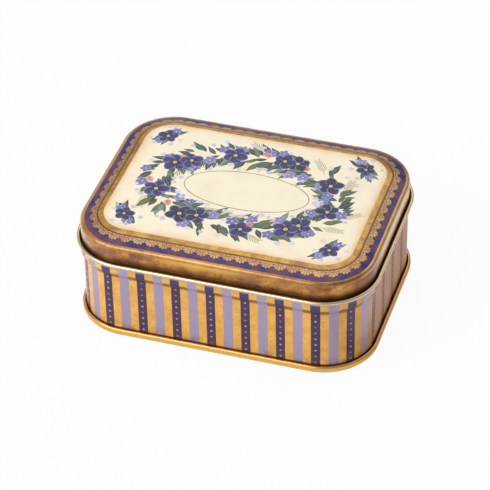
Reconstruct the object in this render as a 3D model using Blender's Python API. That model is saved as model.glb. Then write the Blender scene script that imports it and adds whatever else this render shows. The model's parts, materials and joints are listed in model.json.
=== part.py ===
"""Small printed tin box with a hinged lid, in metres, +Z up.

The origin is on the table under the middle of the box, the long sides run along X and the hinge is at +Y.
The tin is three pressings of one gauge of tinplate: a wall strip, a seamed bottom panel and a lid.
Every pressing is drawn as a strip that is bent along the middle of its sheet, and then swept round the box.
In a strip, out is the distance outwards from the wall's outer face, and up is the height above the table.
"""

import math

import bmesh
import bpy
from mathutils import Matrix

# The sheet, the plan of the wall's outer face, and the height of the rolled rim's middle above the table.
SHEET = 0.00025
WALL_LENGTH = 0.0960
WALL_WIDTH = 0.0720
CORNER_RADIUS = 0.0167
RIM_HEIGHT = 0.02823

# The bottom seam: how far the two hooks lap, and the looseness between its layers.
SEAM_LAP = 0.0007
SEAM_GAP = 0.00018
SEAM_FOOT_RADIUS = 0.00055
BOTTOM_RECESS = 0.0014
BOTTOM_BEND_RADIUS = 0.0003

# The collar that the lid drops into, down from the rim's middle, and the rolled rim on it.
COLLAR_STEP = 0.00082
COLLAR_DEPTH = 0.00353
COLLAR_STEP_HEIGHT = 0.0015
RIM_RADIUS = 0.0006
RIM_TURN = math.radians(255)

# The lock seam that closes the strip, on the inside of the back.
LOCK_SEAM_WIDTH = 0.0034
LOCK_SEAM_DEPTH = 0.0005
LOCK_SEAM_CLEARANCE = 0.0004

# The lid: its top above the rim's middle, skirt, rolled bottom edge, sloping border and raised panel.
LID_RISE = 0.00897
LID_CLEARANCE = 0.00024
LID_SEAT_GAP = 0.0003
LID_HEM_RADIUS = 0.0004
LID_HEM_TURN = math.radians(250)
LID_EDGE_RADIUS = 0.0012
LID_BORDER_WIDTH = 0.0079
LID_BORDER_SLOPE = math.radians(16)
LID_PANEL_FILLET = 0.0040

# The two hinge hooks, rolled out of the lid's skirt round the rim.
HINGE_SPACING = 0.0440
HOOK_WIDTH = 0.0090
HOOK_CLEARANCE = 0.0001
HOOK_SHEET_SHARE = 0.8
HOOK_BEND_RADIUS = 0.0003
HOOK_ROOT_LENGTH = 0.0003
HOOK_TURN = math.radians(215)
HOOK_RELIEF = 0.0004
SLOT_SIDE_CLEARANCE = 0.0005
SLOT_DEPTH_CLEARANCE = 0.00015
SLOT_TOP_SHARE = 0.4

# One overrun lets every cutter pass through what it cuts.
CUT_OVERRUN = 0.0002

# Steps of the curves: round a corner of the box, and per right angle of a bend in the sheet.
CORNER_STEPS = 10
BEND_STEPS = 4
SHARP_ANGLE = math.radians(40)

UP = math.pi / 2
RIGHT_ANGLE = math.pi / 2
HALF_TURN = math.pi

# What follows from the sizes above.
half_sheet = SHEET / 2
seam_pitch = SHEET + SEAM_GAP
wall_middle = -half_sheet
wall_turn_height = SHEET + SEAM_GAP + half_sheet + seam_pitch
seam_fold_height = wall_turn_height + SEAM_LAP
collar_shoulder = RIM_HEIGHT - COLLAR_DEPTH
collar_foot = collar_shoulder - COLLAR_STEP_HEIGHT
collar_bend_angle = 2 * math.atan2(COLLAR_STEP, COLLAR_STEP_HEIGHT)
collar_bend_radius = COLLAR_STEP_HEIGHT / (2 * math.sin(collar_bend_angle))
rim_out = COLLAR_STEP - SHEET + RIM_RADIUS
skirt_out = COLLAR_STEP - SHEET - LID_CLEARANCE
skirt_middle = skirt_out - half_sheet
hem_height = collar_shoulder + LID_SEAT_GAP + LID_HEM_RADIUS + half_sheet - collar_bend_radius
hook_sheet = SHEET * HOOK_SHEET_SHARE
hook_roll_radius = RIM_RADIUS + HOOK_CLEARANCE + hook_sheet / 2
hook_outer_radius = hook_roll_radius + hook_sheet / 2
notch_height = RIM_HEIGHT - hook_roll_radius + HOOK_BEND_RADIUS + SHEET
back_face = WALL_WIDTH / 2


class Strip:
    """A strip of sheet seen edge on, followed along the middle of its thickness."""

    def __init__(self, out, up, heading):
        self.out, self.up, self.heading = out, up, heading
        self.stations = [(out, up, heading)]

    def run(self, length):
        self.out += length * math.cos(self.heading)
        self.up += length * math.sin(self.heading)
        self.stations.append((self.out, self.up, self.heading))

    def bend(self, radius, angle):
        """Turn left by a positive angle, right by a negative one."""
        side = math.copysign(radius, angle)
        centre_out = self.out - side * math.sin(self.heading)
        centre_up = self.up + side * math.cos(self.heading)
        steps = max(2, round(BEND_STEPS * abs(angle) / RIGHT_ANGLE))
        start = self.heading
        for step in range(1, steps + 1):
            self.heading = start + angle * step / steps
            self.out = centre_out + side * math.sin(self.heading)
            self.up = centre_up - side * math.cos(self.heading)
            self.stations.append((self.out, self.up, self.heading))

    def run_to_up(self, up):
        self.run((up - self.up) * math.sin(self.heading))

    def run_to_out(self, out):
        self.run((out - self.out) * math.cos(self.heading))

    def outline(self, thickness):
        """The sheet's two faces as one outline: on along its left side, then back along its right."""
        faces = []
        for side in (thickness / 2, -thickness / 2):
            faces.append([(out - side * math.sin(heading), up + side * math.cos(heading))
                          for out, up, heading in self.stations])
        left, right = faces
        return left + right[::-1]


def rounded_loop(out, up):
    """The box's plan, out from the wall's outer face and at one height, counter-clockwise from the right."""
    radius = CORNER_RADIUS + out
    across = WALL_LENGTH / 2 - CORNER_RADIUS
    along = WALL_WIDTH / 2 - CORNER_RADIUS
    corners = ((across, along), (-across, along), (-across, -along), (across, -along))
    loop = []
    for number, (x, y) in enumerate(corners):
        for step in range(CORNER_STEPS + 1):
            angle = RIGHT_ANGLE * (number + step / CORNER_STEPS)
            loop.append((x + radius * math.cos(angle), y + radius * math.sin(angle), up))
    return loop


def swept_mesh(name, outline, closed):
    """Sweep an outline round the box. An open outline is closed by a flat panel at each of its ends."""
    bm = bmesh.new()
    rings = [[bm.verts.new(point) for point in rounded_loop(out, up)] for out, up in outline]
    pairs = list(zip(rings, rings[1:]))
    if closed:
        pairs.append((rings[-1], rings[0]))
    else:
        bm.faces.new(rings[0])
        bm.faces.new(rings[-1][::-1])
    for ring, other in pairs:
        count = len(ring)
        for here in range(count):
            after = (here + 1) % count
            bm.faces.new((ring[here], ring[after], other[after], other[here]))
    return finished_mesh(name, bm)


def extruded_mesh(name, outline, width, back):
    """Extrude an outline of out and up along X, with out counted from the face at the back of the box."""
    bm = bmesh.new()
    ends = [[bm.verts.new((x, back + out, up)) for out, up in outline] for x in (-width / 2, width / 2)]
    bm.faces.new(ends[0])
    bm.faces.new(ends[1][::-1])
    for here in range(len(outline)):
        after = (here + 1) % len(outline)
        bm.faces.new((ends[0][here], ends[0][after], ends[1][after], ends[1][here]))
    return finished_mesh(name, bm)


def block_mesh(name, width, low, high):
    """A block centred on X, from low to high in (y, z)."""
    outline = [(low[0], low[1]), (high[0], low[1]), (high[0], high[1]), (low[0], high[1])]
    return extruded_mesh(name, outline, width, 0)


def finished_mesh(name, bm):
    bmesh.ops.recalc_face_normals(bm, faces=bm.faces)
    mesh = bpy.data.meshes.new(name)
    bm.to_mesh(mesh)
    bm.free()
    mesh.shade_smooth()
    mesh.set_sharp_from_angle(angle=SHARP_ANGLE)
    return mesh


def coated_tin(name, colour, roughness, metallic):
    material = bpy.data.materials.new(name)
    material.use_nodes = True
    shader = material.node_tree.nodes["Principled BSDF"]
    shader.inputs["Base Color"].default_value = (*colour, 1)
    shader.inputs["Roughness"].default_value = roughness
    shader.inputs["Metallic"].default_value = metallic
    material.diffuse_color = (*colour, 1)
    return material


def place(name, mesh, material):
    piece = bpy.data.objects.new(name, mesh)
    piece.data.materials.append(material)
    bpy.context.scene.collection.objects.link(piece)
    return piece


def combine(piece, operation, name, mesh, x=0):
    """Cut a second shape out of a piece, or join it on. That shape stays in the scene as a hidden guide."""
    guide = bpy.data.objects.new(name, mesh)
    guide.location.x = x
    guide.hide_render = True
    guide.display_type = "WIRE"
    bpy.context.scene.collection.objects.link(guide)
    change = piece.modifiers.new(name, "BOOLEAN")
    change.operation = operation
    change.object = guide


def wall_strip():
    """Up from the seam's hook, round under the cover's hook, up the wall, out to the collar, over the rim."""
    strip = Strip(wall_middle + 2 * seam_pitch, seam_fold_height, -UP)
    strip.run(SEAM_LAP)
    strip.bend(seam_pitch, -HALF_TURN)
    strip.run_to_up(collar_foot)
    strip.bend(collar_bend_radius, -collar_bend_angle)
    strip.bend(collar_bend_radius, collar_bend_angle)
    strip.run_to_up(RIM_HEIGHT)
    strip.bend(RIM_RADIUS - half_sheet, -RIM_TURN)
    return strip


def bottom_strip():
    """Out from the flat panel, down inside the wall, out under it, up outside, and over into the wall's hook."""
    strip = Strip(wall_middle - seam_pitch - BOTTOM_BEND_RADIUS, BOTTOM_RECESS + half_sheet, 0)
    strip.bend(BOTTOM_BEND_RADIUS, -RIGHT_ANGLE)
    strip.run_to_up(half_sheet + BOTTOM_BEND_RADIUS)
    strip.bend(BOTTOM_BEND_RADIUS, RIGHT_ANGLE)
    strip.run_to_out(wall_middle + 3 * seam_pitch - SEAM_FOOT_RADIUS)
    strip.bend(SEAM_FOOT_RADIUS, RIGHT_ANGLE)
    strip.run_to_up(seam_fold_height)
    strip.bend(seam_pitch, HALF_TURN)
    strip.run(SEAM_LAP)
    return strip


def lid_strip():
    """Out from the flat panel, down the sloping border, over the edge, down the skirt, and in round the hem."""
    edge_bend = LID_EDGE_RADIUS - half_sheet
    strip = Strip(skirt_out - LID_BORDER_WIDTH, RIM_HEIGHT + LID_RISE - half_sheet, 0)
    strip.bend(LID_PANEL_FILLET, -LID_BORDER_SLOPE)
    edge_start = skirt_middle - edge_bend * (1 - math.sin(LID_BORDER_SLOPE))
    strip.run((edge_start - strip.out) / math.cos(LID_BORDER_SLOPE))
    strip.bend(edge_bend, LID_BORDER_SLOPE - RIGHT_ANGLE)
    strip.run_to_up(hem_height)
    strip.bend(LID_HEM_RADIUS - half_sheet, -LID_HEM_TURN)
    return strip


def hook_strip():
    """Down out of the skirt, out through the wall's slot, and up round the rim."""
    strip = Strip(skirt_middle, notch_height + HOOK_ROOT_LENGTH, -UP)
    strip.run_to_up(RIM_HEIGHT - hook_roll_radius + HOOK_BEND_RADIUS)
    strip.bend(HOOK_BEND_RADIUS, RIGHT_ANGLE)
    strip.run_to_out(rim_out)
    strip.bend(hook_roll_radius, HOOK_TURN)
    return strip


def build_wall():
    piece = place("body_wall", swept_mesh("body_wall", wall_strip().outline(SHEET), True),
                  coated_tin("striped_print", (0.62, 0.42, 0.24), 0.35, 0.6))
    seam = block_mesh("lock_seam", LOCK_SEAM_WIDTH,
                      (back_face - SHEET - LOCK_SEAM_DEPTH, BOTTOM_RECESS + SHEET + LOCK_SEAM_CLEARANCE),
                      (back_face - half_sheet, collar_foot - LOCK_SEAM_CLEARANCE))
    combine(piece, "UNION", "lock_seam", seam)
    slot_low = (COLLAR_STEP - SHEET - CUT_OVERRUN, RIM_HEIGHT - hook_outer_radius - SLOT_DEPTH_CLEARANCE)
    slot_high = (rim_out, RIM_HEIGHT - RIM_RADIUS * SLOT_TOP_SHARE)
    slot = block_mesh("hinge_slot", HOOK_WIDTH + 2 * SLOT_SIDE_CLEARANCE,
                      (back_face + slot_low[0], slot_low[1]), (back_face + slot_high[0], slot_high[1]))
    for side in (-1, 1):
        combine(piece, "DIFFERENCE", "hinge_slot", slot, side * HINGE_SPACING / 2)


def build_bottom():
    place("bottom_panel", swept_mesh("bottom_panel", bottom_strip().outline(SHEET), False),
          coated_tin("gold_lacquer", (0.70, 0.43, 0.12), 0.3, 0.9))


def build_lid():
    """The lid's origin is on its hinge, in the middle of the rolled rim at the back."""
    hinge = Matrix.Translation((0, back_face + rim_out, RIM_HEIGHT))
    mesh = swept_mesh("lid", lid_strip().outline(SHEET), False)
    mesh.transform(hinge.inverted())
    piece = place("lid", mesh, coated_tin("lid_print", (0.80, 0.68, 0.48), 0.35, 0.3))
    piece.matrix_world = hinge
    notch = block_mesh("hook_notch", HOOK_WIDTH + 2 * HOOK_RELIEF,
                       (back_face + skirt_out - 2 * LID_HEM_RADIUS - CUT_OVERRUN,
                        hem_height - LID_HEM_RADIUS - CUT_OVERRUN),
                       (back_face + skirt_out + CUT_OVERRUN, notch_height))
    hook = extruded_mesh("hinge_hook", hook_strip().outline(hook_sheet), HOOK_WIDTH, back_face)
    for side in (-1, 1):
        combine(piece, "DIFFERENCE", "hook_notch", notch, side * HINGE_SPACING / 2)
        combine(piece, "UNION", "hinge_hook", hook, side * HINGE_SPACING / 2)


for old in list(bpy.data.objects):
    bpy.data.objects.remove(old)

build_wall()
build_bottom()
build_lid()
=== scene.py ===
import bisect
import json
import math
import random
from collections import namedtuple

import bmesh
import bpy
from mathutils import Matrix, Vector


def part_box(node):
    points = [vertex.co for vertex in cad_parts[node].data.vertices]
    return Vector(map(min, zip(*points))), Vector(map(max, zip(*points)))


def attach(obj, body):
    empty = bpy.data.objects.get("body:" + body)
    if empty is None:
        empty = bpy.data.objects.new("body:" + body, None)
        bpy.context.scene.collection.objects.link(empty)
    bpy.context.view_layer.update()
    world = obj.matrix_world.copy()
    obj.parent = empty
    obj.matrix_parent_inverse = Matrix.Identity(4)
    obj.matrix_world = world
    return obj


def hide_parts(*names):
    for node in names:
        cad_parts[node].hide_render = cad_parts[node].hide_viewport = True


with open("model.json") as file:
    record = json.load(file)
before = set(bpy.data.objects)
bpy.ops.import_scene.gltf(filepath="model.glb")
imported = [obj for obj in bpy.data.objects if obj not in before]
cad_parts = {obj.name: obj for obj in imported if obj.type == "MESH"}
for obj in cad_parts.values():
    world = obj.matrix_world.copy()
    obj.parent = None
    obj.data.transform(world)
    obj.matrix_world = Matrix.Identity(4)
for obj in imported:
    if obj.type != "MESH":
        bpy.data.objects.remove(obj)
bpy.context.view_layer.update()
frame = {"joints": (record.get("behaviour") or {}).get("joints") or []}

# The camera stands where the photo was taken from: a long lens, a little right of the front, looking down.
# Its lens, turn and place come from matching the outlines of seam, wall, rim and lid in the photograph.
mm = 0.001
photo_pixels = 490
lens_pixels = 2459.69
camera_turn = math.radians(18.257)
camera_height = math.radians(38.536)
camera_roll = math.radians(-1.305)
camera_distance = 806.71 * mm
camera_aside = -0.780 * mm
camera_lift = 12.052 * mm

camera_data = bpy.data.cameras.new("photo_camera")
camera_data.lens = lens_pixels / photo_pixels * camera_data.sensor_width
backwards = Vector((math.sin(camera_turn) * math.cos(camera_height),
                    -math.cos(camera_turn) * math.cos(camera_height),
                    math.sin(camera_height)))
level = Vector((math.cos(camera_turn), math.sin(camera_turn), 0))
upright = backwards.cross(level)
right = level * math.cos(camera_roll) + upright * math.sin(camera_roll)
top = upright * math.cos(camera_roll) - level * math.sin(camera_roll)
stand = backwards * camera_distance + level * camera_aside + upright * camera_lift
camera = bpy.data.objects.new("photo_camera", camera_data)
camera.matrix_world = Matrix.Translation(stand) @ Matrix((right, top, backwards)).transposed().to_4x4()
bpy.context.scene.collection.objects.link(camera)
bpy.context.scene.camera = camera
bpy.context.scene.view_settings.view_transform = "Standard"

# The wall: one strip of printed tinplate, bent round the box and closed by a lock seam at the back.
# Its top steps out into a collar and rolls into a bare rim, two slots under the rim let the hinge hooks in,
# and its foot is turned up as the hook of the bottom seam.
sheet = 0.25 * mm
half_sheet = sheet / 2
corner_radius = 16.7 * mm
collar_step = 0.82 * mm
collar_step_height = 1.5 * mm
collar_depth = 3.53 * mm
rim_radius = 0.6 * mm
rim_turn = math.radians(255)
seam_pitch = sheet + 0.18 * mm
seam_lap = 0.7 * mm
lock_seam_half = 1.7 * mm
lock_seam_round = 0.2 * mm
lock_seam_depth = 0.5 * mm
lock_seam_low = 2.05 * mm
groove_half = 0.25 * mm
groove_depth = 0.12 * mm
hook_spacing = 44.0 * mm
hook_width = 9.0 * mm
hook_sheet = 0.2 * mm
slot_gap = 0.5 * mm
slot_depth_gap = 0.15 * mm
slot_top_share = 0.4
column_spacing = 5 * mm
corner_steps = 26
bend_steps = 8
sharp_angle = math.radians(35)

UP = math.pi / 2
RIGHT_ANGLE = math.pi / 2
HALF_TURN = math.pi
# The two faces of a strip, as seen along its heading.
LEFT, RIGHT = 1, -1

hinge = Vector(frame["joints"][0]["pos_m"])
wall_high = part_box("body_wall")[1]
rim_out = collar_step - sheet + rim_radius
half_width = hinge.y - rim_out
half_length = half_width + wall_high.x - wall_high.y
rim_height = hinge.z
collar_foot = rim_height - collar_depth - collar_step_height
seam_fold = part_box("bottom_panel")[1].z - seam_pitch - half_sheet
hook_clearance = 0.1 * mm
hook_roll = rim_radius + hook_clearance + hook_sheet / 2
slot_low = rim_height - hook_roll - hook_sheet / 2 - slot_depth_gap
slot_high = rim_height - rim_radius * slot_top_share
slot_half = hook_width / 2 + slot_gap


class Strip:
    """A strip of sheet seen edge on. Out is the distance outwards from the wall's face, up the height."""

    def __init__(self, out, up, heading):
        self.out, self.up, self.heading = out, up, heading
        self.stations = [(out, up, heading)]

    def run(self, length):
        self.out += length * math.cos(self.heading)
        self.up += length * math.sin(self.heading)
        self.stations.append((self.out, self.up, self.heading))

    def run_to_up(self, up):
        self.run((up - self.up) * math.sin(self.heading))
        return len(self.stations) - 1

    def run_to_out(self, out):
        self.run((out - self.out) * math.cos(self.heading))

    def bend(self, radius, angle, steps_per_right_angle=bend_steps):
        """Turn left by a positive angle, right by a negative one."""
        side = math.copysign(radius, angle)
        centre_out = self.out - side * math.sin(self.heading)
        centre_up = self.up + side * math.cos(self.heading)
        steps = max(3, round(steps_per_right_angle * abs(angle) / RIGHT_ANGLE))
        start = self.heading
        for step in range(1, steps + 1):
            self.heading = start + angle * step / steps
            self.out = centre_out + side * math.sin(self.heading)
            self.up = centre_up - side * math.cos(self.heading)
            self.stations.append((self.out, self.up, self.heading))


# A column is one cross-section's place: its corner's centre, its direction, and how far round it stands.
Column = namedtuple("Column", "x y angle around")


def columns_round_the_box(measured_out, back_marks=()):
    """Columns counter-clockwise from the middle of the front. Distances round are measured that far out."""
    across, along = half_length - corner_radius, half_width - corner_radius
    corners = [(0, -along), (across, -along), (across, along),
               (-across, along), (-across, -along), (0, -along)]
    arc = (corner_radius + measured_out) * RIGHT_ANGLE
    columns = []
    around = 0
    for number, (start, end) in enumerate(zip(corners, corners[1:])):
        start, end = Vector(start), Vector(end)
        length = (end - start).length
        angle = RIGHT_ANGLE * (number - 1)
        steps = round(length / column_spacing)
        stops = {step / steps for step in range(steps + 1)}
        if angle == RIGHT_ANGLE:
            stops |= {(across - mark) / length for mark in back_marks}
        for stop in sorted(stops):
            columns.append(Column(*start.lerp(end, stop), angle, around + length * stop))
        around += length
        if number < 4:
            for step in range(1, corner_steps):
                turn = step / corner_steps
                columns.append(Column(*end, angle + RIGHT_ANGLE * turn, around + arc * turn))
            around += arc
    return columns[:-1], around


class Pressing:
    """A piece of bent sheet: strips set out in columns, with a left face, a right face and cut edges."""

    def __init__(self, name):
        self.name = name
        self.bm = bmesh.new()
        self.print_map = self.bm.loops.layers.uv.new("print")

    def form(self, strip, columns, total=0, thickness=sheet, windows=(), panel=False, press=None):
        """Total is the way round a closed ring. Windows go from station to station and column to column."""
        last_row = len(strip.stations) - 1
        places = []
        for out, up, heading in strip.stations:
            for side in (LEFT, RIGHT):
                face_out = out - side * thickness / 2 * math.sin(heading)
                face_up = up + side * thickness / 2 * math.cos(heading)
                places.append([(press(column, face_out, face_up, side) if press else face_out, face_up)
                               for column in columns])
        verts = []
        for row in places:
            verts.append([])
            for column, (out, up) in zip(columns, row):
                reach = corner_radius + out
                verts[-1].append(self.bm.verts.new((column.x + reach * math.cos(column.angle),
                                                    column.y + reach * math.sin(column.angle), up)))
        count = len(columns)

        def face(*corners):
            """A face from (station, side, column) corners, with its place in the print."""
            rows = [2 * station + (0 if side == LEFT else 1) for station, side, number in corners]
            made = self.bm.faces.new([verts[row][corner[2] % count] for row, corner in zip(rows, corners)])
            for loop, row, (station, side, number) in zip(made.loops, rows, corners):
                around = columns[number].around if number < count else total
                loop[self.print_map].uv = (around, places[row][number % count][0])
            return made

        def edge(station, number):
            """The cut edge of the sheet at a station, from one column to the next."""
            face((station, LEFT, number), (station, LEFT, number + 1),
                 (station, RIGHT, number + 1), (station, RIGHT, number))

        def is_cut(station, number):
            return any(first <= station < last and start <= number < end
                       for first, last, start, end in windows)

        faces = {LEFT: [], RIGHT: []}
        for number in range(count if total else count - 1):
            after = number + 1
            for station in range(last_row):
                if not is_cut(station, number):
                    for side in (LEFT, RIGHT):
                        faces[side].append(face((station, side, number), (station, side, after),
                                                (station + 1, side, after), (station + 1, side, number)))
            for station, shown in ((0, not panel), (last_row, True)):
                if shown and not is_cut(min(station, last_row - 1), number):
                    edge(station, number)
        if panel:
            for side in (LEFT, RIGHT):
                faces[side].append(face(*[(0, side, number) for number in range(count)]))
        for first, last, start, end in windows:
            for number in range(start, end):
                for station in (first, last):
                    if 0 < station < last_row:
                        edge(station, number)
        jambs = [(first, last, number) for first, last, *edges in windows for number in edges]
        if not total:
            jambs += [(0, last_row, 0), (0, last_row, count - 1)]
        for first, last, number in jambs:
            for station in range(first, last):
                face((station, LEFT, number), (station + 1, LEFT, number),
                     (station + 1, RIGHT, number), (station, RIGHT, number))
        return faces

    def place(self, finishes, body, replaced, slot):
        """The finished piece, with its bare metal and printed finishes, in place of a node of the frame."""
        bmesh.ops.recalc_face_normals(self.bm, faces=self.bm.faces)
        mesh = bpy.data.meshes.new(self.name)
        self.bm.to_mesh(mesh)
        self.bm.free()
        for finish in finishes:
            mesh.materials.append(finish)
        mesh.shade_smooth()
        mesh.set_sharp_from_angle(angle=sharp_angle)
        piece = bpy.data.objects.new(self.name, mesh)
        bpy.context.scene.collection.objects.link(piece)
        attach(piece, body)
        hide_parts(replaced)


def print_on(faces):
    """The printed finish, second of a piece's two, on these faces."""
    for face in faces:
        face.material_index = 1


wall = Strip(-half_sheet + 2 * seam_pitch, seam_fold, -UP)
wall.run(seam_lap)
wall.bend(seam_pitch, -HALF_TURN)
wall.run_to_up(lock_seam_low)
wall.run_to_up(lock_seam_low + lock_seam_round)
wall.run_to_up(collar_foot - lock_seam_round * 2)
wall.run_to_up(collar_foot - lock_seam_round)
wall.run_to_up(collar_foot)
collar_bend = 2 * math.atan2(collar_step, collar_step_height)
collar_bend_radius = collar_step_height / (2 * math.sin(collar_bend))
wall.bend(collar_bend_radius, -collar_bend)
wall.bend(collar_bend_radius, collar_bend)
sill = wall.run_to_up(slot_low)
lintel = wall.run_to_up(slot_high)
wall.run_to_up(rim_height)
wall.bend(rim_radius - half_sheet, -rim_turn)


def lock_seam(column, out, up, side):
    """The seam's layers stand in from the back wall. Outside, a fine groove shows where they close."""
    from_middle = abs(column.x)
    if column.angle != RIGHT_ANGLE or not lock_seam_low < up < collar_foot - lock_seam_round:
        return out
    if side == LEFT:
        rise = (lock_seam_half + lock_seam_round - from_middle) / (2 * lock_seam_round)
        return out - lock_seam_depth * min(max(rise, 0), 1)
    return out - groove_depth * max(1 - from_middle / groove_half, 0)


seam_marks = [0, groove_half, lock_seam_half - lock_seam_round, lock_seam_half,
              lock_seam_half + lock_seam_round]
slot_marks = [hook_spacing / 2 - slot_half, hook_spacing / 2 + slot_half]
back_marks = [side * mark for side in (-1, 1) for mark in seam_marks + slot_marks]
wall_columns, wall_around = columns_round_the_box(0, back_marks)


def back_column(columns, x):
    """The number of the column that stands at x on the back."""
    return min((abs(column.x - x), number) for number, column in enumerate(columns)
               if column.angle == RIGHT_ANGLE)[1]


def back_window(columns, first, last, half):
    """One window on each side of the back's middle, at the hooks."""
    return [(first, last, back_column(columns, x + half), back_column(columns, x - half))
            for x in (-hook_spacing / 2, hook_spacing / 2)]


wall_pressing = Pressing("tin_wall")
wall_faces = wall_pressing.form(wall, wall_columns, wall_around,
                                windows=back_window(wall_columns, sill, lintel, slot_half), press=lock_seam)
print_on(wall_faces[RIGHT])


class Shade:
    """A value, place or colour in a finish: one socket of its node tree. Sums of shades add Math nodes."""

    def __init__(self, socket):
        self.socket = socket

    def feed(self, sockets):
        """Link shades, or set plain values, on the node that this shade comes out of."""
        for name, value in sockets.items():
            target = self.socket.node.inputs[name]
            if isinstance(value, Shade):
                self.socket.id_data.links.new(value.socket, target)
            else:
                target.default_value = value
        return self

    def node(self, kind, settings, sockets, output=0):
        made = self.socket.id_data.nodes.new("ShaderNode" + kind)
        for name, value in settings.items():
            setattr(made, name, value)
        return Shade(made.outputs[output]).feed(sockets)

    def math(self, operation, first, second=0.0):
        return self.node("Math", {"operation": operation}, {0: first, 1: second})

    def __add__(self, other):
        return self.math("ADD", self, other)

    def __sub__(self, other):
        return self.math("SUBTRACT", self, other)

    def __rsub__(self, other):
        return self.math("SUBTRACT", other, self)

    def __mul__(self, other):
        return self.math("MULTIPLY", self, other)

    def __abs__(self):
        return self.math("ABSOLUTE", self)

    __radd__ = __add__
    __rmul__ = __mul__

    def over(self, low, high):
        """0 where this is below low, 1 above high, a smooth rise between. With high first, the reverse."""
        if low > high:
            return 1 - self.over(high, low)
        return self.node("MapRange", {"interpolation_type": "SMOOTHSTEP"},
                         {"Value": self, "From Min": low, "From Max": high})

    def past(self, line, edge):
        """0 before a line and 1 past it. The soft edge reaches that far to each side of the line."""
        return self.over(line - edge, line + edge)

    def before(self, line, edge):
        """The reverse: 1 before the line and 0 past it."""
        return self.over(line + edge, line - edge)

    def between(self, colour, other):
        """This mask's mix of two colours: the first at 0, the other at 1."""
        return self.node("Mix", {"data_type": "RGBA"}, {0: self, 6: colour, 7: other}, 2)

    def to_nearest(self, spacing):
        """The distance to the nearest whole number of spacings."""
        return self.math("PINGPONG", self, spacing / 2)

    def part(self, letter):
        return self.node("SeparateXYZ", {}, {0: self}, letter)

    def vector(self, operation, other=(0, 0, 0), output=0):
        return self.node("VectorMath", {"operation": operation}, {0: self, 1: other}, output)

    def cloud(self, size, detail=3.0, stretch=(1, 1, 1)):
        """Soft noise over this place, from 0 to 1, in patches of about that size."""
        return self.node("TexNoise", {}, {"Vector": self.vector("MULTIPLY", stretch), "Scale": 1 / size,
                                          "Detail": detail})


def ink(*levels):
    """A colour by the levels, from 0 to 255, that a screen shows it with."""
    return (*[((level / 255 + 0.055) / 1.055) ** 2.4 for level in levels], 1)


def finish(name, constants):
    """A new finish: its material, and its shader as a shade to feed."""
    material = bpy.data.materials.new(name)
    material.use_nodes = True
    skin = Shade(material.node_tree.nodes["Principled BSDF"].outputs[0])
    skin.feed(constants)
    return material, skin


def bump(skin, height, depth):
    return skin.node("Bump", {}, {"Height": height, "Strength": 1.0, "Distance": depth})


handled_reach = 1.4 * mm
handled_full = 0.7 * mm


def bare_tin():
    """Bright bare tinplate with fine rolling lines and dull patches, yellowed by handling along the rim."""
    material, skin = finish("bare_tin", {"Metallic": 1.0})
    place = skin.node("TexCoord", {}, {}, "Object")
    dull = place.cloud(6 * mm)
    lines = place.cloud(0.25 * mm, stretch=(0.06, 1, 1))
    handled = abs(place.part("Z") - rim_height).over(handled_reach, handled_full)
    silver = dull.between(ink(212, 208, 200), ink(188, 183, 174))
    yellowed = dull.between(ink(248, 226, 194), ink(228, 202, 168))
    skin.feed({
        "Base Color": handled.between(silver, yellowed),
        "Roughness": 0.36 + dull * 0.1 + lines * 0.06 - handled * 0.14,
        "Normal": bump(skin, lines, 0.003 * mm),
    })
    return material


def old_gold(place, pale, middle, dark, size):
    """Printed old gold: metal ink in cloudy patches, with fine darker speckle."""
    patches = place.cloud(size, 4.0).over(0.35, 0.68)
    speckle = place.cloud(size * 0.22, 3.0).over(0.5, 0.72)
    return (speckle * 0.55).between(patches.between(pale, middle), dark)


stripe_shift = 0.77 * mm
stripes = 27
navy_half = 1.5 * mm
lavender_half = 1.57 * mm
stripe_edge = 0.06 * mm
stripe_wobble = 0.16 * mm
dot_top = 22.28 * mm
dot_pitch = 2.365 * mm
dot_radius = 0.33 * mm
dot_softness = 0.12 * mm
crease_low = collar_foot - 0.3 * mm
crease_high = collar_foot + 1.6 * mm
crease_softness = 0.3 * mm
print_end = 26.3 * mm
rim_foot = 27.3 * mm
foot_shade_top = 2.75 * mm
foot_shade_full = 2.3 * mm
# Where the patchy darkening towards the foot begins and is full.
foot_darkening_top = 6 * mm
foot_darkening_full = 2.2 * mm
# Where the painted shade and painted reflection at the wall's right end begin and are full.
right_end_shade_from = 45 * mm
right_end_shade_full = 47.5 * mm


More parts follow.
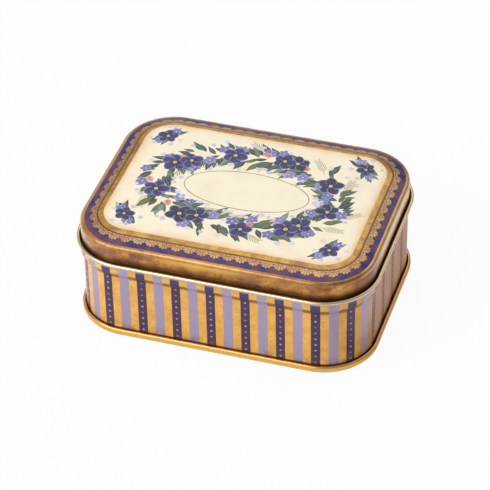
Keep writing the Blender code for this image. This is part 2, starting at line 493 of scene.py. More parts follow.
def striped_print():
    """Navy and lavender stripes on gold lacquer, with a row of pale dots down each navy stripe, painted
    shade in the crease, at the foot and at the right end, and painted reflection at that end.
    """
    material, skin = finish("striped_print", {"Coat Roughness": 0.1, "Specular Tint": (1, 0.6, 0.4, 1)})
    place = skin.node("TexCoord", {}, {}, "Object")
    height = place.part("Z")
    around = skin.node("UVMap", {"uv_map": "print"}, {}).part("X")
    period = wall_around / stripes
    ragged = (place.cloud(0.5 * mm) - 0.5) * stripe_wobble
    from_navy = (around + stripe_shift).to_nearest(period)
    navy = (from_navy + ragged).before(navy_half, stripe_edge)
    lavender = (from_navy + ragged).past(period / 2 - lavender_half, stripe_edge)
    gold = old_gold(place, ink(250, 195, 96), ink(238, 173, 75), ink(206, 142, 66), 4 * mm)
    colour = lavender.between(gold, place.cloud(3 * mm).between(ink(180, 166, 200), ink(170, 156, 181)))
    colour = navy.between(colour, place.cloud(2 * mm).between(ink(66, 48, 92), ink(78, 50, 84)))
    down = (height - dot_top).to_nearest(dot_pitch)
    from_dot = skin.math("SQRT", from_navy * from_navy + down * down)
    strength = place.cloud(1.9 * mm, 1.0).over(0.3, 0.62) * 0.6 + 0.3
    above_crease = height.over(crease_low, crease_high)
    dots = from_dot.before(dot_radius, dot_softness) * (1 - above_crease)
    colour = (dots * strength).between(colour, ink(214, 198, 216))
    nick = place.cloud(0.35 * mm, 2.0).over(0.72, 0.78) * place.cloud(7 * mm, 1.0).over(0.55, 0.65)
    colour = (nick * 0.7).between(colour, ink(224, 206, 206))
    colour = (above_crease * lavender * 0.4).between(colour, ink(176, 174, 214))
    colour = (above_crease * navy * 0.3).between(colour, ink(66, 76, 156))
    # Painted shade: a brown line darkens the crease at the collar's foot, strongly on the gold, faintly on
    # the lavender, and near black on the navy.
    crease_shade = height.past(crease_low, crease_softness) * height.before(crease_high, crease_softness)
    colour = (crease_shade * (0.8 - lavender * 0.68 - navy * 0.72)).between(colour, ink(108, 54, 8))
    colour = (crease_shade * navy * 0.5).between(colour, ink(30, 16, 40))
    colour = (height.over(print_end, rim_foot) * 0.6).between(colour, ink(206, 180, 150))
    inked = skin.math("MAXIMUM", navy, lavender)
    # Painted shade and painted reflection: the wall's right end is darkened and browned, and its coat is
    # heavier there.
    right_end_shade = place.part("X").over(right_end_shade_from, right_end_shade_full)
    wear_and_shade = lavender.between(ink(112, 66, 34), ink(212, 172, 166))
    colour = (right_end_shade * (0.42 - inked * 0.2)).between(colour, wear_and_shade)
    # Patchy darkening towards the foot, over its lowest few millimetres.
    foot_darkening = height.over(foot_darkening_top, foot_darkening_full) * place.cloud(2.5 * mm, 4.0).over(0.42, 0.62)
    colour = (foot_darkening * 0.45).between(colour, ink(120, 88, 70))
    # Painted shade: a near black band at the wall's foot, where it meets the seam, with the metal sheen
    # taken out of it.
    above_foot_shade = height.over(foot_shade_full, foot_shade_top)
    colour = ((1 - above_foot_shade) * 0.92).between(colour, ink(78, 46, 22))
    skin.feed({
        "Base Color": colour,
        "Metallic": (inked * 0.3 + 0.2) * above_foot_shade,
        "Roughness": 0.34 + inked * 0.1 + place.cloud(2 * mm) * 0.06,
        "Coat Weight": 0.65 + right_end_shade * 0.2,
        "Normal": bump(skin, inked + place.cloud(0.4 * mm) * 0.5, 0.004 * mm),
    })
    return material


tin_finish = bare_tin()
wall_pressing.place([tin_finish, striped_print()], "box", "body_wall", "striped_print")

# The bottom: one panel pressed up inside the wall, turned out under it, and folded over the wall's hook.
# It is lacquered gold outside, which shows as the bright band round the foot, and bare tin inside.
bottom_recess = 1.4 * mm
bottom_bend_radius = 0.3 * mm
seam_foot_radius = 0.55 * mm
seam_top_low = 1.7 * mm
seam_top_high = 2.0 * mm

bottom = Strip(-half_sheet - seam_pitch - bottom_bend_radius, bottom_recess + half_sheet, 0)
bottom.bend(bottom_bend_radius, -RIGHT_ANGLE)
bottom.run_to_up(half_sheet + bottom_bend_radius)
bottom.bend(bottom_bend_radius, RIGHT_ANGLE)
bottom.run_to_out(-half_sheet + 3 * seam_pitch - seam_foot_radius)
bottom.bend(seam_foot_radius, RIGHT_ANGLE)
bottom.run_to_up(seam_fold)
bottom.bend(seam_pitch, HALF_TURN)
bottom.run(seam_lap)

bottom_pressing = Pressing("tin_bottom")
bottom_faces = bottom_pressing.form(bottom, *columns_round_the_box(0), panel=True)
print_on(bottom_faces[RIGHT])


def gold_lacquer():
    """Clear gold lacquer over bright tin: brassy, uneven and rubbed pale, with a painted darker, redder
    tone along the seam's top that dims its highlight.
    """
    material, skin = finish("gold_lacquer", {"Coat Weight": 0.3, "Coat Roughness": 0.1})
    place = skin.node("TexCoord", {}, {}, "Object")
    uneven = place.cloud(4 * mm)
    rubbed = place.cloud(0.5 * mm, 4.0, (0.25, 0.25, 1)).over(0.56, 0.7)
    brass = uneven.between(ink(252, 210, 110), ink(238, 190, 90))
    brass = (rubbed * 0.3).between(brass, ink(244, 216, 150))
    # Painted shade: the seam's top is darker and redder, which dims the highlight that falls there.
    highlight_dimming = place.part("Z").over(seam_top_low, seam_top_high)
    skin.feed({
        "Base Color": (highlight_dimming * 0.9).between(brass, ink(238, 176, 108)),
        "Metallic": 0.92,
        "Roughness": 0.26 + uneven * 0.1 + rubbed * 0.06,
        "Normal": bump(skin, place.cloud(0.6 * mm), 0.004 * mm),
    })
    return material


bottom_pressing.place([tin_finish, gold_lacquer()], "box", "bottom_panel", "gold_lacquer")

# The lid: one printed pressing, with a raised flat panel, a sloping border and a skirt with a rolled hem.
# Two tongues of the skirt come out through the wall's slots and roll round the rim, which is the hinge.
lid_low, lid_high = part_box("lid")
skirt_out = lid_high.x - half_length
skirt_middle = skirt_out - half_sheet
lid_edge_radius = 1.2 * mm
lid_border_width = 7.9 * mm
lid_border_slope = math.radians(16)
lid_panel_fillet = 4.0 * mm
lid_panel_fillet_steps = 40
lid_edge_steps = 12
lid_border_steps = 4
lid_hem_radius = 0.4 * mm
lid_hem_turn = math.radians(250)
hook_bend_radius = 0.3 * mm
hook_root = 0.3 * mm
hook_turn = math.radians(215)
hook_column_shares = (0.5, 0.25, 0, -0.25, -0.5)
notch_gap = 0.4 * mm
notch_half = hook_width / 2 + notch_gap
notch_top = rim_height - hook_roll + hook_bend_radius + sheet
hem_height = lid_low.z + lid_hem_radius

lid = Strip(skirt_out - lid_border_width, lid_high.z - half_sheet, 0)
lid.bend(lid_panel_fillet, -lid_border_slope, lid_panel_fillet_steps)
edge_bend = lid_edge_radius - half_sheet
edge_start = skirt_middle - edge_bend * (1 - math.sin(lid_border_slope))
border_step = (edge_start - lid.out) / math.cos(lid_border_slope) / lid_border_steps
for number in range(lid_border_steps):
    lid.run(border_step)
lid.bend(edge_bend, lid_border_slope - RIGHT_ANGLE, lid_edge_steps)
edge_height = lid.up
notch = lid.run_to_up(notch_top)
lid.run_to_up(hem_height)
lid.bend(lid_hem_radius - half_sheet, -lid_hem_turn)

lace_middle = 4.0 * mm
notch_marks = [side * (hook_spacing / 2 + edge) for side in (-1, 1) for edge in (-notch_half, notch_half)]
lid_columns, lid_around = columns_round_the_box(skirt_out - lace_middle, notch_marks)
lid_pressing = Pressing("tin_lid")
lid_faces = lid_pressing.form(lid, lid_columns, lid_around, panel=True,
                              windows=back_window(lid_columns, notch, len(lid.stations) - 1, notch_half))
print_on(lid_faces[LEFT])

hook = Strip(skirt_middle, notch_top + hook_root, -UP)
hook.run_to_up(rim_height - hook_roll + hook_bend_radius)
hook.bend(hook_bend_radius, RIGHT_ANGLE)
hook.run_to_out(rim_out)
hook.bend(hook_roll, hook_turn)
for middle in (-hook_spacing / 2, hook_spacing / 2):
    hook_columns = [Column(middle + hook_width * share, half_width - corner_radius, RIGHT_ANGLE, 0)
                    for share in hook_column_shares]
    print_on(lid_pressing.form(hook, hook_columns, thickness=hook_sheet)[LEFT])

lace_repeats = 68
lace_root = 5.25 * mm
lace_radius = 2.3 * mm
lace_lobe = math.radians(30)
lace_scallop = 0.1 * mm
lace_rays_start = 0.9 * mm
lace_rays_full = 1.1 * mm
lace_ring_in = 0.6 * mm
lace_ring_out = 0.9 * mm
lace_ring_edge = 0.05 * mm
edge_gold_width = 1.4 * mm
edge_bright_full = 0.5 * mm
brown_line_end = 5.85 * mm
gold_band_end = 7.55 * mm
print_shift = Vector((0.2, -0.35, 0)) * mm
print_edge = 0.07 * mm
print_wobble = 0.25 * mm
haze_reach = 9.3 * mm
haze_full = 7.4 * mm
rosy_reach = 12 * mm
rosy_full = 7 * mm
shine_middle = -3 * mm
shine_reach = 22 * mm
shine_full = 4 * mm
shine_low = 31.5 * mm
shine_high = 34 * mm
ends_from = 45 * mm
ends_full = 47 * mm
corner_dark_end = -21 * mm
corner_light_full = -12 * mm
turning_from = 40 * mm
turning_full = 47 * mm
skirt_shade_top = 32.0 * mm
skirt_shade_low = 29.6 * mm
gap_light_top = 29.2 * mm
gap_light_full = 28.7 * mm
skirt_start = 0.5 * mm


def lid_print():
    """Cream, an old gold band, a brown line, gold lace on a navy band, and a mottled old gold skirt, with
    painted highlights and painted shade on its edge and skirt.
    """
    material, skin = finish("lid_print", {"Coat Roughness": 0.1, "Specular IOR Level": 0.1})
    place = skin.node("TexCoord", {}, {}, "Object")
    height = place.part("Z")
    around = skin.node("UVMap", {"uv_map": "print"}, {}).part("X")
    ragged = (place.cloud(0.6 * mm) - 0.5) * print_wobble
    straight = (half_length - corner_radius, half_width - corner_radius, 1)
    # The inset is how far in from the lid's edge a place lies, seen from above.
    past_straight = place.vector("SUBTRACT", print_shift).vector("ABSOLUTE").vector("SUBTRACT", straight)
    inset = corner_radius + skirt_out - past_straight.vector("MAXIMUM").vector("LENGTH", output=1) + ragged

    # Each fan of the lace spreads out from its own place on the brown line.
    aside = around.to_nearest(lid_around / lace_repeats)
    depth = lace_root - inset
    reach = skin.math("SQRT", aside * aside + depth * depth)
    ray = skin.math("COSINE", skin.math("ARCTAN2", aside, depth) * (2 * math.pi / lace_lobe))
    fan = (reach - ray * lace_scallop).over(lace_radius - print_edge,
                                            lace_radius - lace_scallop - 2 * print_edge)
    lace_gold = old_gold(place, ink(222, 182, 114), ink(194, 148, 88), ink(146, 100, 80), 2.4 * mm)
    rays = ray.over(-0.45, -0.75) * reach.over(lace_rays_start, lace_rays_full)
    ring = reach.past(lace_ring_in, lace_ring_edge) * reach.before(lace_ring_out, lace_ring_edge)
    lace = (skin.math("MAXIMUM", rays, ring) * 0.65).between(lace_gold, ink(92, 66, 96))
    navy = place.cloud(5 * mm).over(0.35, 0.65).between(ink(60, 53, 116), ink(112, 74, 90))
    gold = old_gold(place, ink(222, 174, 90), ink(186, 140, 64), ink(132, 92, 72), 3 * mm)
    tarnish = place.cloud(9 * mm, 4.0).over(0.48, 0.7)
    gold = (tarnish * 0.5).between(gold, ink(124, 88, 84))
    edge_gold = old_gold(place, ink(194, 143, 84), ink(162, 116, 66), ink(122, 80, 76), 4 * mm)
    # Painted highlight: the edge gold is lighter across the middle of the lid's length and towards both
    # ends.
    middle = abs(place.part("X") - shine_middle).over(shine_reach, shine_full)
    edge_gold = (middle * 0.3).between(edge_gold, ink(250, 194, 112))
    ends = abs(place.part("X")).over(ends_from, ends_full)
    edge_gold = (ends * 0.45).between(edge_gold, ink(255, 214, 150))
    age = place.cloud(9 * mm, 5.0).over(0.45, 0.8) * 0.6
    cream = age.between(ink(255, 245, 218), ink(250, 228, 192))
    fade = place.cloud(1.6 * mm, 3.0, (1, 2.5, 1)).over(0.6, 0.72)
    fade = fade * place.cloud(14 * mm, 1.0).over(0.45, 0.6)
    cream = (fade * 0.3).between(cream, ink(232, 206, 164))
    rosy = inset.over(rosy_reach, rosy_full) * place.cloud(7 * mm, 4.0).over(0.3, 0.7)
    cream = (rosy * 0.8).between(cream, ink(252, 212, 164))
    cream = (inset.over(haze_reach, haze_full) * 0.35).between(cream, ink(226, 182, 120))

    colour = inset.past(edge_gold_width, print_edge).between(edge_gold, navy)
    colour = fan.between(colour, lace)
    colour = inset.past(lace_root, print_edge).between(colour, ink(128, 86, 68))
    colour = inset.past(brown_line_end, print_edge).between(colour, gold)
    on_panel = inset.past(gold_band_end, print_edge)
    colour = on_panel.between(colour, cream)

    brown = old_gold(place, ink(214, 152, 66), ink(170, 108, 38), ink(104, 58, 36), 4 * mm)
    stains = place.cloud(5 * mm, 4.0).over(0.47, 0.62)
    brown = (stains * 0.62).between(brown, ink(112, 62, 64))
    # Painted highlight on the upper skirt across the middle of the lid's length.
    brown = (middle * height.over(shine_low, shine_high) * 0.9).between(brown, ink(255, 198, 90))
    shaded = height.over(skirt_shade_top, skirt_shade_low)
    past_corner = place.part("Y").over(corner_dark_end, corner_light_full)
    lit_end = ends * past_corner
    brown = (shaded * (0.85 - lit_end * 0.35)).between(brown, ink(60, 30, 6))
    brown = (lit_end * (1 - shaded) * 0.55).between(brown, ink(255, 214, 150))
    # Painted shade round the skirt's right front corner, with its coat thinned there too.
    corner_shade = place.part("X").over(turning_from, turning_full) * (1 - past_corner)
    brown = (corner_shade * 0.65).between(brown, ink(88, 48, 38))
    brown = (height.over(gap_light_top, gap_light_full) * 0.4).between(brown, ink(190, 160, 124))
    on_skirt = height.over(edge_height, edge_height - skirt_start)
    colour = on_skirt.between(colour, brown)

    on_navy = inset.over(edge_gold_width, edge_gold_width + print_edge)
    on_navy = on_navy * inset.over(lace_root, lace_root - print_edge) * (1 - fan)
    plain = skin.math("MAXIMUM", on_panel, on_navy) * (1 - on_skirt)
    bright = inset.over(edge_gold_width, edge_bright_full)
    skin.feed({
        "Base Color": colour,
        "Metallic": 0.6 - plain * 0.57 + on_skirt * 0.35,
        "Coat Weight": 0.3 + on_skirt * 0.6 - shaded * 0.7 - corner_shade * 0.5,
        "Roughness": 0.36 + place.cloud(3 * mm) * 0.08 - bright * 0.09,
        "Normal": bump(skin, place.cloud(0.5 * mm) * 0.6 + place.cloud(12 * mm) * 3.0, 0.005 * mm),
    })
    return material


lid_pressing.place([tin_finish, lid_print()], "lid", "lid", "lid_print")

# The picture on the lid is an oval garland and four corner sprays, printed in layers of raised ink.
# The leaves lie above the sprigs and below the blossoms: narrow ones in deep, blue and olive greens,
# that lean both ways off the garland's line, with sixteen more in each corner spray.
panel_top = lid_high.z
ink_sink = 0.05 * mm
level_step = 0.0006 * mm
blunt_share = 0.04
raised_ink = {"Roughness": 0.42, "Coat Weight": 0.25, "Coat Roughness": 0.1}
dice = random.Random(7)


def either_way(reach):
    """A random amount, up to that much below or above zero."""
    return dice.uniform(-reach, reach)


def towards(turn):
    """One step along the panel in that direction."""
    return Vector((math.cos(turn), math.sin(turn)))


class Painting:
    """One layer of the picture: thin flakes of ink on the panel, one for each leaf or petal."""

    def __init__(self, name):
        self.name = name
        self.bm = bmesh.new()
        self.stroke = self.bm.verts.layers.float_vector.new("stroke")
        self.tint = self.bm.verts.layers.float.new("tint")

    def flake(self, base, turn, length, half_width, shape, level, tint, curve=0.0, steps=7):
        """From its base towards turn. The shape gives its width on the way, and the curve bends it left."""
        seed = dice.uniform(0, 50)
        forward = towards(turn)
        left = Vector((-forward.y, forward.x))
        rows = []
        for step in range(steps + 1):
            along = step / steps
            middle = base + forward * (length * along) + left * (length * curve * along * along / 2)
            half = half_width * max(shape(along), blunt_share)
            row = []
            for across, height in ((-1, -ink_sink), (-1, level), (0, level), (1, level), (1, -ink_sink)):
                vert = self.bm.verts.new((middle + left * (half * across)).to_3d())
                vert.co.z = panel_top + height
                vert[self.stroke] = (across, along, seed)
                vert[self.tint] = tint
                row.append(vert)
            rows.append(row)
        self.join(rows)
        self.bm.faces.new(rows[0])
        self.bm.faces.new(rows[-1])

    def join(self, rows):
        """Faces round from each ring of points to the next."""
        for row, after in zip(rows, rows[1:]):
            for number in range(len(row)):
                other = (number + 1) % len(row)
                self.bm.faces.new((row[number], row[other], after[other], after[number]))

    def place(self, material):
        bmesh.ops.recalc_face_normals(self.bm, faces=self.bm.faces)
        mesh = bpy.data.meshes.new(self.name)
        self.bm.to_mesh(mesh)
        self.bm.free()
        mesh.materials.append(material)
        piece = bpy.data.objects.new(self.name, mesh)
        bpy.context.scene.collection.objects.link(piece)
        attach(piece, "lid")


# How wide a leaf, a petal and a round dab are on the way along, as a share of their widest.
def leaf_shape(along):
    return math.sin(math.pi * along ** 0.8) ** 1.1 if 0 < along < 1 else 0


def petal_shape(along):
    return math.sin(math.pi * along ** 0.75) ** 0.6 if 0 < along < 1 else 0


def round_shape(along):
    return 2 * math.sqrt(along * (1 - along))


garland_long = 30.0 * mm
garland_wide = 18.4 * mm
garland_steps = 720
garland_points = [Vector((garland_long * math.cos(2 * math.pi * step / garland_steps),
                          garland_wide * math.sin(2 * math.pi * step / garland_steps)))
                  for step in range(garland_steps + 1)]
garland_reach = [0]
for point, after in zip(garland_points, garland_points[1:]):
    garland_reach.append(garland_reach[-1] + (after - point).length)


def on_garland(share, out):
    """The place that share of the way round the garland, that far out from its line, and the heading."""
    reach = share % 1 * garland_reach[-1]
    step = bisect.bisect(garland_reach, reach) - 1
    run = garland_points[step + 1] - garland_points[step]
    outwards = Vector((run.y, -run.x)).normalized()
    place = garland_points[step] + run * ((reach - garland_reach[step]) / run.length) + outwards * out
    return place, math.atan2(run.y, run.x)


class Brush:
    """A painted finish to start from: the place in each stroke, across it and along it, and its tint."""

    def __init__(self, name):
        self.material, self.skin = finish(name, raised_ink)
        self.stroke = self.skin.node("Attribute", {"attribute_name": "stroke"}, {}, "Vector")
        self.tint = self.skin.node("Attribute", {"attribute_name": "tint"}, {}, "Fac")
        self.across = abs(self.stroke.part("X"))
        self.along = self.stroke.part("Y")

    def rim(self, side, side_full, end, end_full):
        """1 along the sides and at the far end of each stroke, 0 in its middle."""
        return self.skin.math("MAXIMUM", self.across.over(side, side_full), self.along.over(end, end_full))

    def painted(self, colour):
        self.skin.feed({"Base Color": colour})
        return self.material


def leaf_green():
    """Deep green to blue green, some olive, with a pale midrib, faint slanting veins and dry strokes."""
    brush = Brush("leaf_green")
    green = brush.tint.over(0.3, 0.5).between(ink(20, 38, 36), ink(44, 84, 84))
    green = brush.tint.over(0.62, 0.75).between(green, ink(92, 104, 46))
    green = brush.tint.over(0.86, 0.96).between(green, ink(126, 154, 140))
    dry = brush.stroke.cloud(0.35, 3.0, (2.5, 0.8, 1)).over(0.45, 0.7)
    green = (dry * 0.5).between(green, ink(124, 146, 128))
    slanting = (brush.along - brush.across * 0.3) * 44
    veins = brush.skin.math("SINE", slanting).over(0.5, 1.0) * brush.across.over(0.05, 0.3)
    green = (veins * 0.3).between(green, ink(20, 34, 28))
    midrib = brush.across.over(0.16, 0.05) * brush.along.over(0.95, 0.7)
    return brush.painted((midrib * 0.55).between(green, ink(150, 164, 128)))


leaves = Painting("garland_leaves")
leaf_count = 220
# Spreads, leans, lengths and sizes of what is painted are ranges for the dice, in millimetres and degrees.
leaf_spread = 3.4
leaf_leans = (15, 75)
leaf_lengths = (3.8, 6.6)
leaf_slimness = (0.15, 0.21)
leaf_bow = 0.4
leaf_level = 0.012 * mm
leaf_levels = 24
corner_long = 33.6 * mm
corner_wide = 21.6 * mm
corner_leaves = 16
corner_leaf_spread = 1.2
corner_leaf_leans = (60, 110)
corner_leaf_lengths = (4.6, 6.6)
corner_leaf_slimness = (0.15, 0.2)


def leaf(base, turn, lengths, slimness, number):
    """One leaf, of a length in millimetres between the two given, a hair above the leaf before it."""
    length = dice.uniform(*lengths) * mm
    leaves.flake(base, turn, length, length * dice.uniform(*slimness), leaf_shape,
                 leaf_level + number % leaf_levels * level_step, dice.random(), either_way(leaf_bow))


for number in range(leaf_count):
    out = either_way(leaf_spread) * mm
    base, heading = on_garland((number + either_way(0.4)) / leaf_count, out)
    lean = math.radians(dice.uniform(*leaf_leans)) * (-1 if out > 0 else 1)
    leaf(base, heading + lean, leaf_lengths, leaf_slimness, number)
corners = [Vector((x * corner_long, y * corner_wide)) for x, y in ((1, 1), (-1, 1), (-1, -1), (1, -1))]
for corner in corners:
    inwards = math.atan2(-corner.y, -corner.x)
    for number in range(corner_leaves):
        lean = math.radians(dice.uniform(*corner_leaf_leans)) * (-1 if number % 2 else 1)
        aside = Vector((either_way(corner_leaf_spread), either_way(corner_leaf_spread))) * mm
        leaf(corner + aside, inwards + lean, corner_leaf_lengths, corner_leaf_slimness, number)
leaves.place(leaf_green())

# Feathery sprigs reach out from under the leaves, each a thin bowed stem with pairs of pointed leaflets.
# They are printed in the same raised ink, in a greyer green that fades towards gold.
sprig_count = 26
sprig_out = 1.5 * mm
sprig_leans = (30, 60)
sprig_lengths = (7.4, 9.4)
sprig_bows = (0.1, 0.6)
sprig_level = 0.004 * mm
sprig_levels = 8
stem_half = 0.1 * mm
bare_stem = 0.2
leaflet_pairs = 7
leaflet_longest = 3.6 * mm
leaflet_shrink = 2.0 * mm
leaflet_half = 0.13 * mm
leaflet_lean = math.radians(48)
leaflet_bow = 0.6


def sprig_green():
    """Grey green that fades to a dull gold in some sprigs."""
    brush = Brush("sprig_green")
    green = brush.tint.over(0.2, 0.9).between(ink(66, 88, 70), ink(160, 142, 90))
    dark = brush.stroke.cloud(0.5, 2.0).over(0.45, 0.7)
    return brush.painted((dark * 0.4).between(green, ink(52, 66, 50)))


sprigs = Painting("garland_sprigs")
for number in range(sprig_count):
    side = dice.choice((-1, 1))
    base, heading = on_garland((number + either_way(0.3)) / sprig_count, side * sprig_out)
    turn = heading - side * math.radians(dice.uniform(*sprig_leans))
    length = dice.uniform(*sprig_lengths) * mm
    bow = side * dice.uniform(*sprig_bows)
    level = sprig_level + number % sprig_levels * level_step
    tint = dice.random()
    sprigs.flake(base, turn, length, stem_half, round_shape, level, tint, curve=bow, steps=10)
    forward = towards(turn)
    left = Vector((-forward.y, forward.x))
    for pair in range(1, leaflet_pairs):
        along = bare_stem + (1 - bare_stem) * pair / leaflet_pairs
        leaflet = leaflet_longest - leaflet_shrink * along
        joint = base + forward * (length * along) + left * (length * bow * along * along / 2)
        for hand in (-1, 1):
            leaflet_turn = turn + bow * along + hand * leaflet_lean
            sprigs.flake(joint, leaflet_turn, leaflet, leaflet_half, leaf_shape, level, tint,
                         curve=-hand * leaflet_bow, steps=5)
sprigs.place(sprig_green())

# Thirteen large blossoms sit on the garland, singly and in pairs, and a smaller one in each corner spray.
# Each has five broad petals of navy and violet, paler at the rim, of the same raised ink as the leaves.
# A small cream and amber heart is laid over its middle.
petal_count = 5
blossom_count = 13
blossom_bunching = 0.28
blossom_spread = 1.8
blossom_sizes = (3.8, 4.5)
corner_blossom_sizes = (3.0, 3.4)
blossom_gap = 0.35 * mm
petal_lengths = (0.92, 1.05)
petal_halves = (0.44, 0.52)
blossom_level = 0.05 * mm
petal_step = 0.0008 * mm
heart_level = 0.062 * mm
heart_share = 0.15


def blossom_navy():
    """Near black by the heart, deep navy or violet beyond, and a pale lilac rim where the brush ran dry."""
    brush = Brush("blossom_navy")
    navy = brush.tint.between(ink(22, 20, 60), ink(54, 44, 116))
    streaks = brush.stroke.cloud(0.3, 3.0, (2.2, 0.5, 1))
    navy = (streaks.over(0.52, 0.74) * 0.5).between(navy, ink(84, 82, 162))
    navy = (brush.along.over(0.5, 0.12) * 0.85).between(navy, ink(22, 14, 40))
    rim = brush.rim(0.7, 0.96, 0.82, 0.97) * streaks.over(0.38, 0.56)
    return brush.painted((rim * 0.85).between(navy, ink(164, 170, 226)))


def heart_amber():
    """Cream at the outside, amber in the middle, dabbed on."""
    brush = Brush("heart_amber")
    from_middle = brush.skin.math("MAXIMUM", brush.across, abs(brush.along * 2 - 1))
    amber = from_middle.over(0.35, 0.75).between(ink(222, 140, 60), ink(250, 232, 180))
    dabs = brush.stroke.cloud(0.5, 2.0).over(0.55, 0.7)
    return brush.painted((dabs * 0.4).between(amber, ink(180, 96, 60)))


blossoms = Painting("garland_blossoms")
hearts = Painting("garland_hearts")


def blossom(middle, size, first_level):
    """Five broad petals, each a hair above the last, and a heart."""
    tint = dice.random()
    start = dice.uniform(0, 2 * math.pi)
    for petal in range(petal_count):
        turn = start + 2 * math.pi * petal / petal_count + either_way(0.1)
        length = size * dice.uniform(*petal_lengths)
        half = size * dice.uniform(*petal_halves)
        level = blossom_level + (first_level + petal) * petal_step
        petal_tint = tint * 0.8 + dice.uniform(0, 0.2)
        blossoms.flake(middle + towards(turn) * blossom_gap, turn, length, half, petal_shape, level,
                       petal_tint, curve=either_way(0.15), steps=9)
    heart = size * heart_share
    hearts.flake(middle - Vector((heart, 0)), 0, 2 * heart, heart, round_shape, heart_level, 0, steps=8)


for number in range(blossom_count):
    share = (number + blossom_bunching * (number % 3 - 1) + either_way(0.1)) / blossom_count
    middle, heading = on_garland(share, either_way(blossom_spread) * mm)
    blossom(middle, dice.uniform(*blossom_sizes) * mm, number % 2 * petal_count)
for corner in corners:
    blossom(corner, dice.uniform(*corner_blossom_sizes) * mm, 0)
blossoms.place(blossom_navy())
hearts.place(heart_amber())

# Small lavender blue blossoms, of five round petals each, lie to both sides of the garland's line, and two
# more in each corner spray. They are the same raised ink, with a dot of yellow at the middle.
small_count = 26
small_spread = (2.4, 5.2)
small_sizes = (1.7, 2.2)
corner_small_spread = (3.4, 4.2)
corner_small_sizes = (1.5, 1.9)
petal_start = 0.12
petal_half = 0.46
small_level = 0.03 * mm
small_level_step = 0.004 * mm
dot_rise = 0.005 * mm
dot_share = 0.2


def blossom_lavender():
    """Lavender blue, paler towards the rim, with a violet throat."""
    brush = Brush("blossom_lavender")
    blue = brush.tint.between(ink(96, 102, 184), ink(148, 138, 206))
    blue = (brush.along.over(0.35, 0.1) * 0.7).between(blue, ink(74, 58, 128))
    rim = brush.rim(0.5, 0.95, 0.75, 0.98)
    return brush.painted((rim * 0.6).between(blue, ink(198, 198, 232)))


def dot_yellow():
    """A dab of warm yellow."""
    brush = Brush("dot_yellow")
    return brush.painted(brush.stroke.cloud(0.6, 1.0).between(ink(248, 226, 130), ink(226, 176, 84)))


small_blossoms = Painting("garland_small_blossoms")
dots = Painting("garland_dots")


def five_petals(layer, middle, sizes, number=0):
    """A small round blossom and its middle dot. Its petals are between two sizes long, in millimetres."""
    size = dice.uniform(*sizes) * mm
    tint = dice.random()
    start = dice.uniform(0, 2 * math.pi)
    level = small_level + number % 3 * small_level_step
    for petal in range(petal_count):
        turn = start + 2 * math.pi * petal / petal_count
        petal_tint = min(max(tint + either_way(0.15), 0), 1)
        layer.flake(middle + towards(turn) * size * petal_start, turn, size, size * petal_half,
                    petal_shape, level + petal * level_step, petal_tint, steps=6)
    dot = size * dot_share
    dots.flake(middle - Vector((dot, 0)), 0, 2 * dot, dot, round_shape, level + dot_rise, 0, steps=5)


for number in range(small_count):
    middle, heading = on_garland((number + 0.5 + either_way(0.3)) / small_count,
                                 dice.choice((-1, 1)) * dice.uniform(*small_spread) * mm)
    five_petals(small_blossoms, middle, small_sizes, number)
for corner in corners:
    for side in (-1, 1):
        crosswise = Vector((-corner.y, corner.x)).normalized()
        middle = corner + crosswise * side * dice.uniform(*corner_small_spread) * mm
        five_petals(small_blossoms, middle, corner_small_sizes)
small_blossoms.place(blossom_lavender())

# Tiny pale flowers are scattered at the garland's edges, and a few peach rosebuds show among the leaves.
# A rosebud is three wrapped petals and a darker one in front, in raised ink like the rest.
tiny_count = 54
tiny_spread = (5.0, 7.6)
tiny_sizes = (0.7, 1.0)
corner_tiny_count = 6
corner_tiny_spread = (4.4, 5.8)
corner_tiny_sizes = (0.7, 0.9)
rosebud_count = 11
rosebud_spread = 3
rosebud_level = 0.043 * mm
rosebud_step = 0.0012 * mm
rosebud_petals = ((0.35, 2.9 * mm, 0.95 * mm), (-0.35, 2.9 * mm, 0.95 * mm),
                  (0, 3.2 * mm, 0.8 * mm), (0, 2.1 * mm, 0.62 * mm))


def tiny_lilac():
    """White with a breath of lilac."""
    brush = Brush("tiny_lilac")
    lilac = brush.across * 0.5 + brush.tint * 0.5
    return brush.painted(lilac.between(ink(240, 236, 246), ink(188, 180, 222)))


def rosebud_peach():
    """Peach to rose, with a pale lip along each petal."""
    brush = Brush("rosebud_peach")
    rose = brush.tint.between(ink(238, 176, 140), ink(206, 104, 100))
    streaks = brush.stroke.cloud(0.4, 2.0, (2, 0.6, 1)).over(0.45, 0.7)
    rose = (streaks * 0.4).between(rose, ink(188, 84, 88))
    lip = brush.rim(0.7, 0.98, 0.8, 0.98)
    return brush.painted((lip * 0.6).between(rose, ink(252, 220, 200)))


tiny_flowers = Painting("garland_tiny_flowers")
for number in range(tiny_count):
    middle, heading = on_garland((number + either_way(0.4)) / tiny_count,
                                 dice.choice((-1, 1)) * dice.uniform(*tiny_spread) * mm)
    five_petals(tiny_flowers, middle, tiny_sizes, number)
for corner in corners:
    for number in range(corner_tiny_count):
        turn = 2 * math.pi * number / corner_tiny_count + either_way(0.4)
        middle = corner + towards(turn) * dice.uniform(*corner_tiny_spread) * mm
        five_petals(tiny_flowers, middle, corner_tiny_sizes)
tiny_flowers.place(tiny_lilac())
dots.place(dot_yellow())

rosebuds = Painting("garland_rosebuds")
for number in range(rosebud_count):
    base, heading = on_garland((number + 0.5 + either_way(0.2)) / rosebud_count,
                               either_way(rosebud_spread) * mm)
    turn = heading + either_way(1.2)
    tint = dice.uniform(0, 0.6)
    for petal, (lean, length, half) in enumerate(rosebud_petals):
        rosebuds.flake(base, turn + lean, length, half, petal_shape, rosebud_level + petal * rosebud_step,
                       min(tint + 0.13 * petal, 1), lean * -1.5)
rosebuds.place(rosebud_peach())

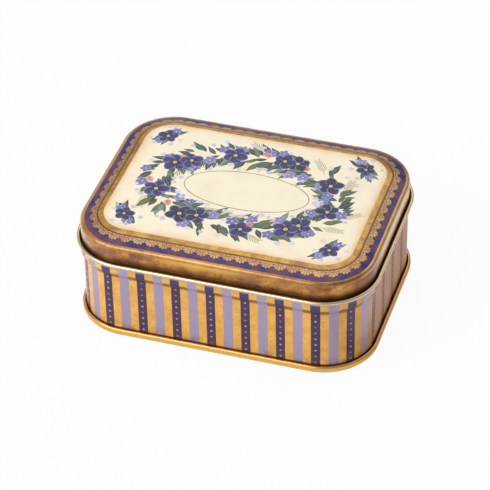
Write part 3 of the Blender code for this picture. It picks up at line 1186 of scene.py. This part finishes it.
# A fine brown oval is drawn inside the garland, round the bare cream middle of the panel.
# It is one thin line of the same raised ink.
oval_long = 20.6 * mm
oval_wide = 9.6 * mm
oval_half = 0.13 * mm
oval_level = 0.02 * mm
oval_steps = 96


def oval_brown():
    """Thin brown ink, worn lighter in places."""
    material, skin = finish("oval_brown", raised_ink)
    place = skin.node("TexCoord", {}, {}, "Object")
    wear_and_shade = place.cloud(2 * mm).over(0.4, 0.7)
    skin.feed({"Base Color": wear_and_shade.between(ink(112, 76, 46), ink(176, 140, 96))})
    return material


oval = Painting("garland_oval")
oval_rows = []
for step in range(oval_steps):
    turn = 2 * math.pi * step / oval_steps
    row = []
    for side, height in ((-1, -ink_sink), (1, -ink_sink), (1, oval_level), (-1, oval_level)):
        place = Vector(((oval_long + side * oval_half) * math.cos(turn),
                        (oval_wide + side * oval_half) * math.sin(turn), panel_top + height))
        row.append(oval.bm.verts.new(place))
    oval_rows.append(row)
oval.join(oval_rows + oval_rows[:1])
oval.place(oval_brown())

# The floor is a plain white sheet that keeps the tin's soft shadow and shows as white to the lens.
# Metal sees it white from a little way out past the tin's two ends, darker close by,
# and brown right beside the right end, as that end of the tin looks brown in the photo.
floor_reach = 12.0
lens_glow = 0.94
near_glow = 0.3
far_glow = 1.0
far_glow_start = 53 * mm
far_glow_full = 61 * mm
brown_start = 48 * mm
brown_full = 49 * mm
brown_fade = 54 * mm
brown_end = 62 * mm

floor_mesh = bpy.data.meshes.new("floor")
floor_corners = [(x * floor_reach, y * floor_reach, 0) for x, y in ((-1, -1), (1, -1), (1, 1), (-1, 1))]
floor_mesh.from_pydata(floor_corners, [], [(0, 1, 2, 3)])
floor = bpy.data.objects.new("floor", floor_mesh)
bpy.context.scene.collection.objects.link(floor)


def white_floor():
    """Matt white, with a glow for the lens and for metal that doesn't light the tin."""
    material, skin = finish("white_floor", {"Base Color": (0.8, 0.8, 0.8, 1), "Roughness": 1.0,
                                            "Specular IOR Level": 0.0})
    path = skin.node("LightPath", {}, {}, "Is Camera Ray")
    in_metal = Shade(path.socket.node.outputs["Is Glossy Ray"])
    through = Shade(path.socket.node.outputs["Is Transmission Ray"])
    sideways = skin.node("TexCoord", {}, {}, "Object").part("X")
    far = abs(sideways).over(far_glow_start, far_glow_full)
    beside = in_metal * sideways.over(brown_start, brown_full) * sideways.over(brown_end, brown_fade)
    reflected = (in_metal + through) * (far * (far_glow - near_glow) + near_glow) + beside
    white_glow = skin.node("Emission", {}, {"Color": (1, 1, 1, 1), "Strength": 1.0})
    brown_glow = skin.node("Emission", {}, {"Color": ink(196, 168, 146), "Strength": 1.0})
    glow = skin.node("MixShader", {}, {0: beside, 1: white_glow, 2: brown_glow})
    share = skin.math("MINIMUM", path * lens_glow + reflected, 1.0)
    mixed = skin.node("MixShader", {}, {0: share, 1: skin, 2: glow})
    output = material.node_tree.nodes["Material Output"]
    material.node_tree.links.new(mixed.socket, output.inputs["Surface"])
    return material


floor_mesh.materials.append(white_floor())

# The light is a soft white tent, brighter at the left, with three soft boxes: a large one to the left of
# the lens, one above and behind the tin, and a faint one low behind it.
tent_strength = 0.27
tent_fall = 0.17
world = bpy.data.worlds.new("light_tent")
world.use_nodes = True
bpy.context.scene.world = world
tent = Shade(world.node_tree.nodes["Background"].outputs[0])
rightwards = tent.node("TexCoord", {}, {}, "Generated").part("X")
tent.feed({"Color": (1, 1, 1, 1), "Strength": tent_strength - rightwards * tent_fall})


def soft_box(name, place, size, watts):
    """A square soft box at a place, turned to face the tin."""
    lamp = bpy.data.lights.new(name, "AREA")
    lamp.shape = "SQUARE"
    lamp.size = size
    lamp.energy = watts
    stand = bpy.data.objects.new(name, lamp)
    stand.location = place
    stand.rotation_euler = (-Vector(place)).to_track_quat("-Z", "Y").to_euler()
    bpy.context.scene.collection.objects.link(stand)


soft_box("left_box", place=(-0.46, -0.6, 0.57), size=0.85, watts=7.1)
soft_box("top_box", place=(0.04, 0.4, 0.8), size=0.95, watts=3.3)
soft_box("back_box", place=(-0.3, 1.1, 0.17), size=0.5, watts=0.2)
